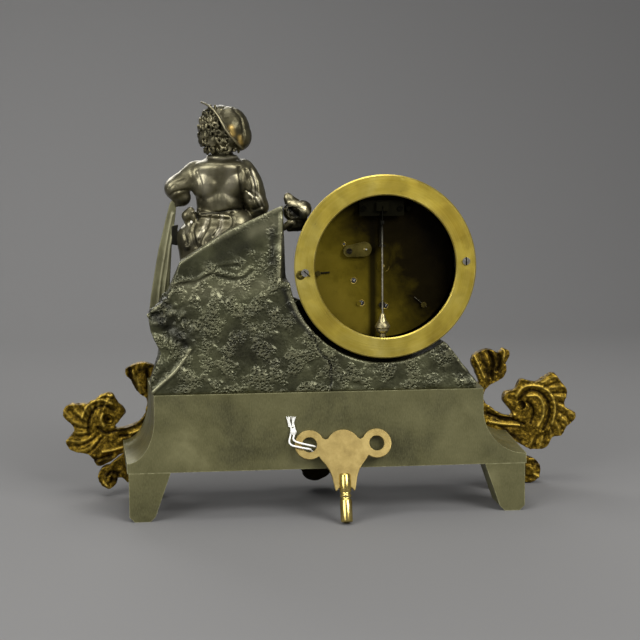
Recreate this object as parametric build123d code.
from build123d import *
import math
import os

# A figural mantel clock: a child seated on a rock beside a drum clock, on a plinth with gilt mounts.
# Millimetres, +Z up. The dial faces -Y and the back of the clock faces +Y.
# Seen from behind, +X is on the left. Until the last step X = 0 is the middle of the plinth's back,
# Y = 0 the middle of its depth and Z = 0 the underside of the feet.

# Small working values
overrun = 1.0
face_gap = 0.3
slip_gap = 0.06
seam_gap = 0.15

# Plinth
plinth_depth = 76.0
plinth_height = 45.0
plinth_wall = 2.6
lip_height = 5.8
lip_half_width = 117.0
cove_half_width_left = 101.0
cove_half_width_right = 91.0
cove_height = 27.0
front_flare = 6.0
cove_round_share = 0.55
foot_pad_thickness = 3.0

# Feet
foot_height = 28.5
foot_top_width = 24.0
foot_bottom_width = 15.0
foot_depth = 20.0
foot_corner = 3.0
foot_inset = 0.8
foot_curl_reach = 20.0
foot_curl_radius = 8.2
foot_curl_eye_radius = 3.0
foot_screw_radius = 1.6
foot_screw_head_radius = 3.2
foot_screw_head_height = 1.8
foot_screw_length = 12.0
foot_screw_inset = 17.5

# Gilt mounts on the front
mount_thickness = 6.0
apron_half_width = 31.0
apron_top_z = 62.5
apron_tongue_z = 5.5
scroll_eye_x_left = 132.0
scroll_eye_z_left = 47.6
scroll_eye_x_right = 133.4
scroll_eye_z_right = 50.1
scroll_size = 30.0
scroll_eye_radius = 3.0
pin_radius = 1.5
pin_length = 7.0

# Rock
rock_half_width = 104.0
rock_height = 108.5
rock_wall = 4.0
rock_back_y = 36.0
rock_front_y = -37.0
crack_width = 0.9

# Drum and its bezels
drum_x = -33.3
drum_z = 145.6
drum_radius = 50.8
drum_step = 3.6
drum_step_y = 12.0
drum_wall = 0.8
drum_front_y = -20.0
rim_radius = 1.1
back_gap = 5.2
bezel_gap = 0.9
ring_outer_radius = 53.0
ring_inner_radius = 41.2
ring_thickness = 2.0
ring_back_y = 39.0
ring_screw_circle = 47.0
ring_screw_radius = 1.3
ring_screw_head_radius = 2.2
ring_screw_head_height = 1.1
movement_turn = 3.4
screw_slot_width = 0.5
screw_slot_depth = 0.5
strap_thickness = 1.5
strap_width = 8.0
strap_foot_depth = 4.0
bezel_overhang = 0.3
bezel_base_thickness = 2.5
bezel_face_width = 10.5
spigot_length = 8.0
spigot_wall = 1.4
door_step = 0.8
door_depth = 6.4
door_face_width = 8.5
glass_thickness = 1.6
glass_lap = 1.6
hinge_angle = 8.0
hinge_radius = 1.9
hinge_pin_radius = 0.7
hinge_length = 12.0
hinge_reach = 2.6

# Dial, hands and motion work
dial_edge_gap = 1.1
dial_thickness = 1.5
dial_hole_radius = 3.0
winding_hole_radius = 3.6
dial_foot_radius = 1.3
dial_foot_circle = 37.0
dial_foot_angles = (148.0, 32.0, -50.0)
dial_pin_radius = 0.45
dial_pin_length = 6.0
hand_thickness = 0.6
hour_hand_length = 21.0
minute_hand_length = 32.0
hour_hand_turn = 305.0
minute_hand_turn = 60.0
hand_width = 3.0
hour_hand_gap = 0.8
minute_hand_gap = 2.0
collet_radius = 2.2
collet_height = 1.2
cannon_radius = 1.6
hour_pipe_radius = 2.3
motion_module = 0.55
cannon_teeth = 12
minute_wheel_teeth = 36
minute_pinion_teeth = 12
hour_wheel_teeth = 48
minute_stud_radius = 1.0
minute_stud_angle = 62.0

# Movement plates
plate_radius = 41.5
plate_thickness = 2.0
back_plate_y = 24.0
plate_spacing = 27.0
pillar_radius = 2.0
pillar_waist_radius = 1.5
pillar_end_radius = 1.5
pillar_end_length = 2.6
pillar_shares = ((0.920, -0.094), (-0.576, -0.557), (-0.361, 0.807))
pillar_pin_turns = (176.0, 40.0, 120.0)
taper_pin_radius = 0.5
taper_pin_length = 9.0
arbor_radius = 0.8
pivot_radius = 0.55
centre_post_radius = 0.9
small_screw_radius = 0.8
small_screw_head_radius = 1.7
stud_shares = (0.347, -0.528)
stud_radius = 1.3
stud_length = 1.0

# Train, each arbor's place from the drum's centre as shares of the plates' radius
barrel_shares = (0.012, -0.554)
third_shares = (0.451, -0.195)
escape_shares = (0.270, 0.241)
pallet_shares = (0.034, 0.759)
great_teeth = 56
centre_leaves = 8
centre_teeth = 96
third_leaves = 6
third_teeth = 60
escape_leaves = 6
wheel_thickness = 1.2
pinion_length = 3.2
wheel_tooth_share = 0.40
wheel_tip_share = 0.20
pinion_tooth_share = 0.36
pinion_tip_share = 0.16
addendum_share = 0.75
dedendum_share = 1.15
wheel_rim_share = 0.84
wheel_hub_share = 0.26
spoke_width = 1.8
spoke_count = 4
spring_steps = 12
barrel_radius = 17.2
barrel_depth = 15.5
barrel_wall = 1.2
barrel_arbor_radius = 2.0
barrel_arbor_tail = 2.0
winding_square = 2.9
winding_square_length = 11.5
spring_thickness = 0.5
spring_pitch = 1.35
spring_turns = 7
spring_inner_radius = 4.2
ratchet_radius = 6.4
ratchet_teeth = 18
ratchet_tooth_depth = 1.1
ratchet_thickness = 1.4
click_length = 9.0
click_width = 2.6
click_screw_radius = 1.0
click_spring_gap = 0.5
click_spring_length = 3.0
escape_radius = 9.2
escape_teeth = 44
escape_tooth_depth = 1.3
escape_wheel_y = 12.0
potence_reach = 22.8
potence_width = 4.6
potence_thickness = 2.0
potence_height = 8.0
cock_thickness = 1.8
cock_rise = 1.6
cock_length_left = 11.0
cock_half_width = 4.2
cock_foot_share = 0.8

# Escapement and pendulum
pallet_thickness = 2.0
pallet_arm_width = 2.6
pallet_clearance = 0.4
pallet_bend_share = 0.45
pallet_outer_bend_share = 0.40
pallet_tip_share = 0.6
crutch_length = 20.0
crutch_radius = 0.6
fork_width = 1.0
back_cock_width = 26.0
back_cock_height = 9.0
back_cock_y = 30.6
back_cock_thickness = 2.0
chops_width = 7.0
chops_height = 5.0
pendulum_y = 34.2
suspension_thickness = 0.2
suspension_width = 2.4
suspension_length = 6.0
rod_radius = 0.5
bob_radius = 4.5
bob_height = 12.0
bob_top_drop = 58.5
rod_thread_radius = 0.7
rod_thread_length = 4.6
nut_radius = 1.9
nut_height = 1.6

# Child figure
figure_x = 62.0
figure_y = -6.0
seat_z = 149.0
shoulder_z = 203.0
hip_half_width = 24.0
torso_depth_share = 0.72
neck_radius = 5.6
head_x = 58.5
head_z = 225.0
head_radius = 12.6
hair_curl_radius = 3.6
hair_curl_count = 9
hat_radius = 13.8
hat_rise = 1.5
hat_tilt = -49.0
hat_brim_radius = 17.5
hat_brim_thickness = 1.8
chin_share = 0.66
chin_drop_share = 0.42
hair_seat_share = 0.88
hair_level_shares = (0.10, 0.40)
hair_start_angle = -15.0
hair_span_angle = 210.0
dome_share = 0.98
arm_radius = 6.9
elbow_share = 0.95
wrist_radius = 3.9
hand_radius = 4.9
oar_drop = 18.0
thigh_radius = 8.2
knee_radius = 6.4
ankle_radius = 4.0
shoe_length = 15.0
oar_thickness = 3.4
oar_blade_width = 11.0
oar_shaft_width = 3.6
oar_foot_share = 0.42
oar_neck_share = 0.25
oar_shoulder_share = 0.72
gourd_radius = 6.4
gourd_drop = 5.0
gourd_reach = 8.0

# Fasteners inside the case
bolt_radius = 2.0
nut_size = 4.2
nut_thickness = 3.0
bolt_y = 6.0
bolt_shares = (0.846, 0.288, -0.635)
bolt_boss_radius = 6.0

# Winding key
key_length = 55.0
key_x = -7.4
key_foot_y = 59.0
key_plate_thickness = 2.0
key_ring_spacing = 19.6
key_ring_height = 46.5
key_ring_radius = 8.6
key_ring_hole_radius = 4.3
key_lobe_radius = 10.0
key_lobe_height = 45.0
key_neck_width = 11.0
key_neck_height = 21.0
key_barrel_radius = 3.5
key_barrel_height = 28.0
key_groove_depth = 0.6
key_groove_height = 15.0
key_groove_pitch = 3.0
key_groove_width = 1.2
key_bore_depth = 12.0

# Cotton string tied to the key
string_radius = 0.5
string_bend = 2.0
string_knot_radius = 1.3
string_knot_place = (21.2, 39.8, 51.4)
# Its route from one frayed end through the knot's place, over the left ring, through its hole, round behind the
# key's plate in a loop and back the same way.
string_points = ((21.6, 38.8, 57.0), (20.3, 38.9, 52.6), (20.5, 40.0, 49.8), (22.2, 43.6, 46.6),
                 (17.0, 44.6, 44.8), (9.4, 45.0, 43.1), (9.0, 39.9, 41.8), (2.0, 40.6, 41.0), (-6.0, 41.2, 39.5),
                 (-11.5, 41.6, 38.0), (-12.5, 42.2, 33.5), (-7.0, 42.4, 31.0), (-1.0, 42.0, 33.0),
                 (5.0, 40.8, 36.5), (11.6, 39.8, 39.7), (11.4, 45.6, 41.5), (17.4, 45.4, 42.6),
                 (24.6, 43.8, 44.2), (22.8, 39.8, 49.2), (22.2, 38.8, 53.0), (23.6, 38.8, 57.2))

# Places worked out from the sizes above
plinth_back_y = plinth_depth / 2
plinth_front_y = -plinth_depth / 2
plinth_top_z = foot_height + plinth_height
plinth_lip_z = foot_height + lip_height
rock_top_z = plinth_top_z + rock_height
ring_front_y = ring_back_y - ring_thickness
drum_back_y = ring_front_y - face_gap
drum_inner_radius = drum_radius - drum_wall
drum_front_radius = drum_radius - drum_step
bezel_base_radius = drum_front_radius + bezel_overhang
bezel_base_front_y = drum_front_y - bezel_base_thickness
dial_view_radius = bezel_base_radius - bezel_face_width
door_radius = bezel_base_radius - door_step
spigot_radius = drum_front_radius - drum_wall - slip_gap
dial_radius = spigot_radius - spigot_wall - dial_edge_gap
door_back_y = bezel_base_front_y - face_gap
door_front_y = door_back_y - door_depth
dial_front_y = drum_front_y + seam_gap
dial_back_y = dial_front_y + dial_thickness
front_plate_y = back_plate_y - plate_spacing - plate_thickness
front_plate_back_y = front_plate_y + plate_thickness
back_plate_back_y = back_plate_y + plate_thickness
centre_wheel_y = front_plate_back_y + wheel_thickness + face_gap
barrel_y = centre_wheel_y + wheel_thickness + wheel_thickness
great_wheel_y = barrel_y + barrel_depth
third_wheel_y = back_plate_y - plate_thickness - wheel_thickness - face_gap
hour_hand_y = dial_front_y - hour_hand_gap - hand_thickness
minute_hand_y = dial_front_y - minute_hand_gap - hand_thickness
minute_wheel_y = front_plate_y - wheel_thickness - face_gap - face_gap
hour_wheel_y = minute_wheel_y - wheel_thickness - wheel_thickness
cannon_back_y = front_plate_y - face_gap
crutch_y = back_plate_back_y + wheel_thickness
chops_y = back_cock_y + back_cock_thickness
centre_place = (0.0, 0.0)
barrel_place = (plate_radius * barrel_shares[0], plate_radius * barrel_shares[1])
third_place = (plate_radius * third_shares[0], plate_radius * third_shares[1])
escape_place = (plate_radius * escape_shares[0], plate_radius * escape_shares[1])
pallet_place = (plate_radius * pallet_shares[0], plate_radius * pallet_shares[1])
stud_place = (plate_radius * stud_shares[0], plate_radius * stud_shares[1])
pillar_places = [(plate_radius * across, plate_radius * up) for across, up in pillar_shares]
bolt_places = [(rock_half_width * share, bolt_y) for share in bolt_shares]
key_tilt = math.degrees(math.asin((key_foot_y - plinth_back_y - key_plate_thickness / 2 - seam_gap)
                                  / key_length))


def along_y(face_at_origin, y0, y1):
    # A face drawn in X and Z, made solid from y0 to y1.
    return Pos(0, y0, 0) * extrude(face_at_origin, amount=y1 - y0, dir=(0, 1, 0))


def xz_polygon(points):
    return make_face(Polyline([(x, 0, z) for x, z in points], close=True))


def rod_y(x, z, y0, y1, radius):
    return Pos(x, (y0 + y1) / 2, z) * Rot(90, 0, 0) * Cylinder(radius, y1 - y0)


def drum_rod(place, y0, y1, radius):
    return rod_y(drum_x + place[0], drum_z + place[1], y0, y1, radius)


def box_between(low, high):
    sizes = [h - l for l, h in zip(low, high)]
    middle = [(l + h) / 2 for l, h in zip(low, high)]
    return Pos(*middle) * Box(*sizes)


def capsule(start, end, start_radius, end_radius):
    # A tapering round limb with ball ends, turned about its own axis.
    axis = Vector(*end) - Vector(*start)
    length = axis.length
    slope = math.asin((start_radius - end_radius) / length)
    side_start = (start_radius * math.cos(slope), start_radius * math.sin(slope))
    side_end = (end_radius * math.cos(slope), length + end_radius * math.sin(slope))
    half_turn = (slope - math.pi / 2) / 2
    low_middle = (start_radius * math.cos(half_turn), start_radius * math.sin(half_turn))
    half_turn = (slope + math.pi / 2) / 2
    high_middle = (end_radius * math.cos(half_turn), length + end_radius * math.sin(half_turn))
    profile = make_face([ThreePointArc((0, -start_radius), low_middle, side_start), Line(side_start, side_end),
                         ThreePointArc(side_end, high_middle, (0, length + end_radius)),
                         Line((0, length + end_radius), (0, -start_radius))])
    limb = revolve(Rot(90, 0, 0) * profile, Axis.Z)
    return Plane(origin=start, z_dir=axis) * limb


def one_solid(shape):
    # The largest solid of a result, without the crumbs a cut can leave.
    return sorted(shape.solids(), key=lambda s: s.volume)[-1]


# Plinth


def plinth_face(y, inset, z_low, z_high, flare):
    # Straight necks above, a concave round at each end and a straight lip below.
    left_neck = cove_half_width_left + flare - inset
    right_neck = inset - flare - cove_half_width_right
    left_lip = lip_half_width + flare - inset
    right_lip = -left_lip
    lip_z = plinth_lip_z - inset
    neck_z = lip_z + cove_height
    edges = [Line((left_neck, y, z_high), (left_neck, y, neck_z))]
    for neck_x, lip_x in ((left_neck, left_lip), (right_neck, right_lip)):
        run = (lip_x - neck_x) * cove_round_share
        fall = (neck_z - lip_z) * cove_round_share
        edges.append(Bezier((neck_x, y, neck_z), (neck_x, y, neck_z - fall), (lip_x - run, y, lip_z),
                            (lip_x, y, lip_z)))
        edges.append(Line((lip_x, y, lip_z), (lip_x, y, z_low)))
    edges.append(Line((left_lip, y, z_low), (right_lip, y, z_low)))
    edges.append(Line((right_neck, y, neck_z), (right_neck, y, z_high)))
    edges.append(Line((right_neck, y, z_high), (left_neck, y, z_high)))
    return make_face(edges)


def foot_pads():
    pads = []
    for side in (-1, 1):
        for y0, y1 in ((plinth_back_y - foot_depth, plinth_back_y - plinth_wall),
                       (plinth_front_y + plinth_wall, plinth_front_y + foot_depth)):
            inner = side * (lip_half_width - foot_top_width)
            outer = side * (lip_half_width - plinth_wall)
            pads.append(box_between((min(inner, outer), y0, foot_height),
                                    (max(inner, outer), y1, foot_height + foot_pad_thickness)))
    return pads


def foot_screw_places():
    x = lip_half_width - foot_screw_inset
    y = plinth_back_y - foot_depth / 2
    return [(sx * x, sy * y) for sx in (-1, 1) for sy in (-1, 1)]


def make_plinth():
    outer = loft([plinth_face(plinth_back_y, 0, foot_height, plinth_top_z, 0),
                  plinth_face(plinth_front_y, 0, foot_height, plinth_top_z, front_flare)], ruled=True)
    cavity = loft([plinth_face(plinth_back_y - plinth_wall, plinth_wall, foot_height - overrun,
                               plinth_top_z - plinth_wall, 0),
                   plinth_face(plinth_front_y + plinth_wall, plinth_wall, foot_height - overrun,
                               plinth_top_z - plinth_wall, front_flare)], ruled=True)
    shell = outer - cavity
    for pad in foot_pads():
        shell += pad
    for x, y in foot_screw_places():
        shell -= Pos(x, y, foot_height) * Cylinder(foot_screw_radius + slip_gap, 3 * foot_pad_thickness)
    for x, y in bolt_places:
        shell -= Pos(x, y, plinth_top_z) * Cylinder(bolt_radius + slip_gap, 3 * plinth_wall)
    for x, z in mount_pin_places():
        shell -= rod_y(x, z, plinth_front_y - overrun, plinth_front_y + plinth_wall + overrun,
                       pin_radius + slip_gap)
    return one_solid(shell)


# Feet


def foot_outline(side):
    outer = lip_half_width - foot_inset
    inner_top = outer - foot_top_width
    inner_bottom = outer - foot_bottom_width
    return xz_polygon([(side * inner_top, foot_height), (side * outer, foot_height),
                       (side * outer, foot_corner), (side * (outer - foot_corner), 0),
                       (side * (inner_bottom + foot_corner), 0), (side * inner_bottom, foot_corner)])


def foot_screw_bore(x, y):
    depth = foot_screw_length - foot_pad_thickness + overrun
    return Pos(x, y, foot_height - depth / 2) * Cylinder(foot_screw_radius + slip_gap, depth)


def make_rear_foot(side):
    foot = along_y(foot_outline(side), plinth_back_y - foot_depth, plinth_back_y)
    for x, y in foot_screw_places():
        if x * side > 0 and y > 0:
            foot -= foot_screw_bore(x, y)
    return one_solid(foot)


def make_front_foot(side):
    foot = along_y(foot_outline(side), plinth_front_y, plinth_front_y + foot_depth)
    front_y = plinth_front_y - mount_thickness / 2
    back_y = plinth_front_y + mount_thickness
    curl_x = side * (lip_half_width + foot_curl_reach)
    curl_z = foot_curl_radius + face_gap
    curl = rod_y(curl_x, curl_z, front_y, back_y, foot_curl_radius)
    eye = rod_y(curl_x, curl_z, front_y - mount_thickness / 4, back_y + mount_thickness / 4,
                foot_curl_eye_radius)
    root_x = side * (lip_half_width - foot_bottom_width)
    tip_x = side * (lip_half_width + foot_curl_reach)
    arm = xz_polygon([(root_x, foot_height), (side * (lip_half_width + foot_corner), foot_height),
                      (tip_x, curl_z + foot_curl_radius), (tip_x, curl_z),
                      (side * lip_half_width, foot_curl_radius), (root_x, foot_corner)])
    foot += along_y(arm, plinth_front_y, back_y) + curl + eye
    for x, y in foot_screw_places():
        if x * side > 0 and y < 0:
            foot -= foot_screw_bore(x, y)
    return one_solid(foot)


def make_foot_screws():
    screws = []
    head_z = foot_height + foot_pad_thickness
    for x, y in foot_screw_places():
        head = Pos(x, y, head_z + foot_screw_head_height / 2) * Cylinder(foot_screw_head_radius,
                                                                         foot_screw_head_height)
        shank = Pos(x, y, head_z - foot_screw_length / 2) * Cylinder(foot_screw_radius, foot_screw_length)
        slot = Pos(x, y, head_z + foot_screw_head_height) * Box(2 * foot_screw_head_radius + overrun,
                                                                screw_slot_width, 2 * screw_slot_depth)
        screws.append(one_solid(head + shank - slot))
    return Compound(screws)


# Gilt mounts, each flat on the plinth's front face


def leafy_face(points):
    # A closed flowing outline through the points.
    return make_face(Spline([(x, 0, z) for x, z in points], periodic=True))


# Outlines of the two scrolls, outward and up from the eye, as shares of their size: round the leaf, down the
# stem, round the volute and back along the part that lies on the plinth.
left_scroll_shares = ((-1.01, 1.10), (-0.90, 1.16), (-0.68, 1.18), (-0.50, 1.13), (-0.37, 1.05), (-0.48, 0.81),
                      (-0.66, 0.53), (-0.80, 0.42), (-0.80, 0.22), (-0.72, 0.02), (-0.42, -0.16), (-0.13, -0.18),
                      (-0.23, -0.03), (-0.35, 0.15), (-0.22, 0.35), (-0.04, 0.56), (0.26, 0.42), (0.53, 0.33),
                      (0.88, 0.28), (0.92, 0.10), (0.71, -0.22), (0.88, -0.47), (0.59, -0.70), (0.39, -0.75),
                      (0.27, -0.96), (-0.02, -0.90), (-0.20, -0.78), (-0.43, -0.68), (-0.73, -0.57),
                      (-1.13, -0.47), (-1.25, -0.05), (-1.10, 0.30), (-0.97, 0.53), (-1.03, 0.80))
right_scroll_shares = ((-0.93, 0.52), (-1.03, 0.80), (-1.10, 1.02), (-0.84, 1.22), (-0.68, 1.23), (-0.50, 1.16),
                       (-0.37, 1.24), (-0.25, 1.13), (-0.33, 0.95), (-0.32, 0.80), (-0.46, 0.57), (-0.68, 0.46),
                       (-0.80, 0.30), (-0.80, 0.12), (-0.65, -0.05), (-0.46, -0.17), (-0.18, -0.21),
                       (-0.28, -0.04), (-0.39, 0.18), (-0.28, 0.32), (-0.13, 0.36), (-0.02, 0.56), (0.29, 0.50),
                       (0.71, 0.69), (0.87, 0.50), (1.01, 0.28), (0.99, -0.08), (1.21, -0.18), (1.16, -0.38),
                       (1.00, -0.50), (0.90, -0.68), (0.72, -0.70), (0.62, -0.86), (0.20, -0.95), (-0.20, -0.74),
                       (-0.53, -0.64), (-1.00, -0.52), (-1.38, -0.33), (-1.48, 0.05), (-1.28, 0.36),
                       (-1.05, 0.38))
# Right half of the apron, as shares of its half width and of its height above the tongue.
apron_shares = ((0.00, 1.00), (0.22, 0.92), (0.48, 0.98), (0.62, 0.86), (0.88, 0.82), (0.84, 0.64), (1.00, 0.50),
                (0.74, 0.42), (0.50, 0.44), (0.42, 0.30), (0.34, 0.12), (0.20, 0.03), (0.00, 0.00))
# Where each casting's pin goes through the plinth's front, as shares like the outline's
left_pin_shares = (-1.08, 0.00)
right_pin_shares = (-1.37, 0.00)


def scroll_place(side, shares):
    eye_x = scroll_eye_x_left if side > 0 else scroll_eye_x_right
    eye_z = scroll_eye_z_left if side > 0 else scroll_eye_z_right
    return side * (eye_x + shares[0] * scroll_size), eye_z + shares[1] * scroll_size


def mount_pin_places():
    return [scroll_place(1, left_pin_shares), scroll_place(-1, right_pin_shares),
            (0, foot_height + plinth_height / 2)]


def mount_pin(place):
    return rod_y(place[0], place[1], plinth_front_y - mount_thickness / 2, plinth_front_y + pin_length,
                 pin_radius)


def make_side_scroll(side):
    front_y = plinth_front_y - mount_thickness
    outline = left_scroll_shares if side > 0 else right_scroll_shares
    body = along_y(leafy_face([scroll_place(side, shares) for shares in outline]), front_y, plinth_front_y)
    eye = scroll_place(side, (0, 0))
    body -= rod_y(eye[0], eye[1], plinth_front_y - mount_thickness / 2, plinth_front_y + overrun,
                  scroll_eye_radius)
    body += mount_pin(mount_pin_places()[0 if side > 0 else 1])
    return one_solid(body)


def make_front_apron():
    height = apron_top_z - apron_tongue_z
    right_half = [(u * apron_half_width, apron_tongue_z + v * height) for u, v in apron_shares]
    left_half = [(-x, z) for x, z in reversed(right_half[1:-1])]
    body = along_y(leafy_face(right_half + left_half), plinth_front_y - mount_thickness, plinth_front_y)
    body += mount_pin(mount_pin_places()[2])
    return one_solid(body)


# Rock


# Outlines of the rock at five depths, from the lower left round the crest to the lower right, seen from behind.
# Each point is a share of the rock's half width and a share of its height above the plinth.
rock_back_shares = ((0.98, 0.00), (0.995, 0.06), (0.93, 0.22), (0.985, 0.34), (1.00, 0.43), (0.89, 0.51),
                    (0.82, 0.70), (0.55, 0.865), (0.245, 1.00), (0.263, 0.60), (-0.32, 0.40), (-0.66, 0.255),
                    (-0.835, 0.04), (-0.838, 0.00))
rock_crest_shares = ((0.97, 0.00), (0.99, 0.07), (0.94, 0.23), (0.98, 0.35), (0.985, 0.44), (0.90, 0.53),
                     (0.81, 0.71), (0.54, 0.87), (0.230, 0.985), (0.220, 0.60), (-0.32, 0.40), (-0.66, 0.255),
                     (-0.84, 0.05), (-0.843, 0.00))
rock_seat_shares = ((0.96, 0.00), (0.98, 0.08), (0.95, 0.22), (0.96, 0.34), (0.95, 0.44), (0.91, 0.52),
                    (0.82, 0.66), (0.58, 0.69), (0.32, 0.69), (0.205, 0.58), (-0.32, 0.38), (-0.66, 0.25),
                    (-0.84, 0.06), (-0.845, 0.00))
rock_lap_shares = ((0.95, 0.00), (0.97, 0.08), (0.94, 0.20), (0.93, 0.30), (0.90, 0.40), (0.84, 0.50),
                   (0.76, 0.60), (0.58, 0.63), (0.36, 0.61), (0.25, 0.48), (-0.32, 0.26), (-0.62, 0.18),
                   (-0.82, 0.06), (-0.835, 0.00))
rock_toe_shares = ((0.93, 0.00), (0.94, 0.05), (0.91, 0.10), (0.88, 0.15), (0.84, 0.19), (0.78, 0.22),
                   (0.70, 0.24), (0.56, 0.23), (0.40, 0.21), (0.26, 0.17), (-0.32, 0.10), (-0.60, 0.09),
                   (-0.80, 0.03), (-0.81, 0.00))
rock_depth_shares = (0.0, 0.30, 0.42, 0.76, 1.0)
rock_sections = (rock_back_shares, rock_crest_shares, rock_seat_shares, rock_lap_shares, rock_toe_shares)


def rock_points(shares):
    return [(u * rock_half_width, plinth_top_z + v * rock_height) for u, v in shares]


def pulled_in(points, distance):
    # The outline moved inwards by a distance at every corner.
    result = []
    count = len(points)
    for i in range(count):
        before = Vector(*points[i - 1])
        here = Vector(*points[i])
        after = Vector(*points[(i + 1) % count])
        first = (here - before).normalized()
        second = (after - here).normalized()
        first_normal = Vector(-first.Y, first.X)
        second_normal = Vector(-second.Y, second.X)
        bisector = (first_normal + second_normal).normalized()
        stretch = max(bisector.dot(first_normal), math.cos(math.pi / 4))
        moved = here + bisector * (distance / stretch)
        result.append((moved.X, moved.Y))
    return result


def rock_section_face(y, points):
    return make_face(Polyline([(x, y, z) for x, z in points], close=True))


def rock_block():
    faces = []
    for share, shares in zip(rock_depth_shares, rock_sections):
        y = rock_back_y + share * (rock_front_y - rock_back_y)
        faces.append(rock_section_face(y, rock_points(shares)))
    return loft(faces, ruled=True)


def drum_hollow(wall):
    # The room the drum takes in the rock: wide behind, close at its seat, wide again for the bezel.
    seat_back_y = drum_front_y + spigot_length
    hollow = drum_rod((0, 0), seat_back_y, rock_back_y + rock_wall, drum_radius + back_gap + wall)
    hollow += drum_rod((0, 0), drum_front_y - wall, seat_back_y + overrun, drum_front_radius + face_gap + wall)
    hollow += drum_rod((0, 0), rock_front_y - rock_wall, drum_front_y + face_gap + wall,
                       bezel_base_radius + bezel_gap + wall)
    return hollow


def rock_cavity():
    faces = []
    depths = list(rock_depth_shares)
    for share, shares in zip(depths, rock_sections):
        y = rock_back_y + share * (rock_front_y - rock_back_y)
        y = min(max(y, rock_front_y + rock_wall), rock_back_y - rock_wall)
        points = pulled_in(rock_points(shares), rock_wall)
        points[0] = (points[0][0], plinth_top_z - overrun)
        points[-1] = (points[-1][0], plinth_top_z - overrun)
        faces.append(rock_section_face(y, points))
    return loft(faces, ruled=True) - drum_hollow(rock_wall)


# The crack's corners from the drum's hollow down to the plinth, as shares of the drum's radius and rock's height.
crack_shares = ((0.86, 0.36), (0.76, 0.255), (0.73, 0.195), (0.56, 0.13), (0.52, 0.06), (0.55, -0.03))


def crack_cut():
    points = [(drum_x + u * drum_radius, plinth_top_z + v * rock_height) for u, v in crack_shares]
    shifted = [(x - crack_width, z) for x, z in reversed(points)]
    return along_y(xz_polygon(points + shifted), rock_back_y - rock_wall / 2, rock_back_y + overrun)


def make_rock():
    rock = rock_block() - rock_cavity() - drum_hollow(0)
    for x, y in bolt_places:
        boss = Pos(x, y, plinth_top_z + rock_wall) * Cylinder(bolt_boss_radius, 2 * rock_wall)
        rock += boss & rock_block()
        rock -= Pos(x, y, plinth_top_z) * Cylinder(bolt_radius + slip_gap, 3 * rock_wall)
    rock -= crack_cut()
    return one_solid(rock)


def make_case_bolts():
    # Studs cast into the rock's bosses come down through the plinth's top.
    bolts = []
    for x, y in bolt_places:
        low = plinth_top_z - plinth_wall - nut_thickness - foot_corner
        high = plinth_top_z + rock_wall
        bolts.append(Pos(x, y, (low + high) / 2) * Cylinder(bolt_radius, high - low))
    return Compound(bolts)


def make_case_nuts():
    nuts = []
    for x, y in bolt_places:
        z = plinth_top_z - plinth_wall - nut_thickness
        blank = Pos(x, y, z) * extrude(RegularPolygon(nut_size, 6), nut_thickness)
        nuts.append(blank - Pos(x, y, z) * Cylinder(bolt_radius + slip_gap, 4 * nut_thickness))
    return Compound([one_solid(nut) for nut in nuts])


# Drum, rear ring and straps


def drum_tube(y0, y1, outer, inner):
    return drum_rod((0, 0), y0, y1, outer) - drum_rod((0, 0), y0 - overrun, y1 + overrun, inner)


def make_drum_shell():
    # A wide rear part, a step and a narrower front part.
    shell = drum_tube(drum_step_y, drum_back_y, drum_radius, drum_inner_radius)
    shell += drum_tube(drum_step_y, drum_step_y + drum_wall, drum_radius, drum_front_radius - drum_wall)
    shell += drum_tube(drum_front_y, drum_step_y + drum_wall, drum_front_radius, drum_front_radius - drum_wall)
    rim = Pos(drum_x, drum_back_y - rim_radius, drum_z) * Rot(90, 0, 0) * Torus(drum_radius, rim_radius)
    shell += rim - drum_rod((0, 0), drum_front_y, drum_back_y + overrun, drum_radius - drum_wall / 2)
    return one_solid(shell)


def ring_screw_places():
    places = []
    for turn in (-movement_turn, 180 - movement_turn):
        angle = math.radians(turn)
        places.append((ring_screw_circle * math.cos(angle), ring_screw_circle * math.sin(angle)))
    return places


def make_rear_ring():
    ring = drum_tube(ring_front_y, ring_back_y, ring_outer_radius, ring_inner_radius)
    edge = ring_thickness / 3
    ring = chamfer(ring.edges().filter_by(GeomType.CIRCLE).group_by(Axis.Y)[-1], edge)
    for place in ring_screw_places():
        ring -= drum_rod(place, ring_front_y - overrun, ring_back_y + overrun, ring_screw_radius + slip_gap)
    return one_solid(ring)


def make_ring_screws():
    screws = []
    for place in ring_screw_places():
        head_y = ring_back_y + ring_screw_head_height
        head = drum_rod(place, ring_back_y, head_y, ring_screw_head_radius)
        shank = drum_rod(place, ring_front_y - strap_foot_depth, ring_back_y, ring_screw_radius)
        slot = Pos(drum_x + place[0], head_y, drum_z + place[1]) * Box(
            screw_slot_width, 2 * screw_slot_depth, 2 * ring_screw_head_radius + overrun)
        screws.append(one_solid(head + shank - slot))
    return Compound(screws)


def make_strap(place):
    # A strip along the drum's wall from the front bezel's spigot to a foot behind the rear ring.
    outer = spigot_radius - spigot_wall - face_gap
    inner = outer - strap_thickness
    front_y = dial_back_y + overrun
    angle = math.degrees(math.atan2(place[1], place[0]))
    strip = drum_tube(front_y, ring_front_y, outer, inner)
    foot = drum_tube(ring_front_y - strap_foot_depth, ring_front_y, ring_screw_circle + 2 * ring_screw_radius,
                     ring_screw_circle - 3 * ring_screw_radius)
    window = Pos(drum_x, 0, drum_z) * Rot(0, -angle, 0) * box_between(
        (0, front_y, -strap_width / 2), (drum_radius, ring_front_y, strap_width / 2))
    strap = (strip + foot) & window
    strap -= drum_rod(place, ring_front_y - strap_foot_depth - overrun, ring_front_y + overrun,
                      ring_screw_radius + slip_gap)
    return one_solid(strap)


# Front bezel, door and dial


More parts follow.
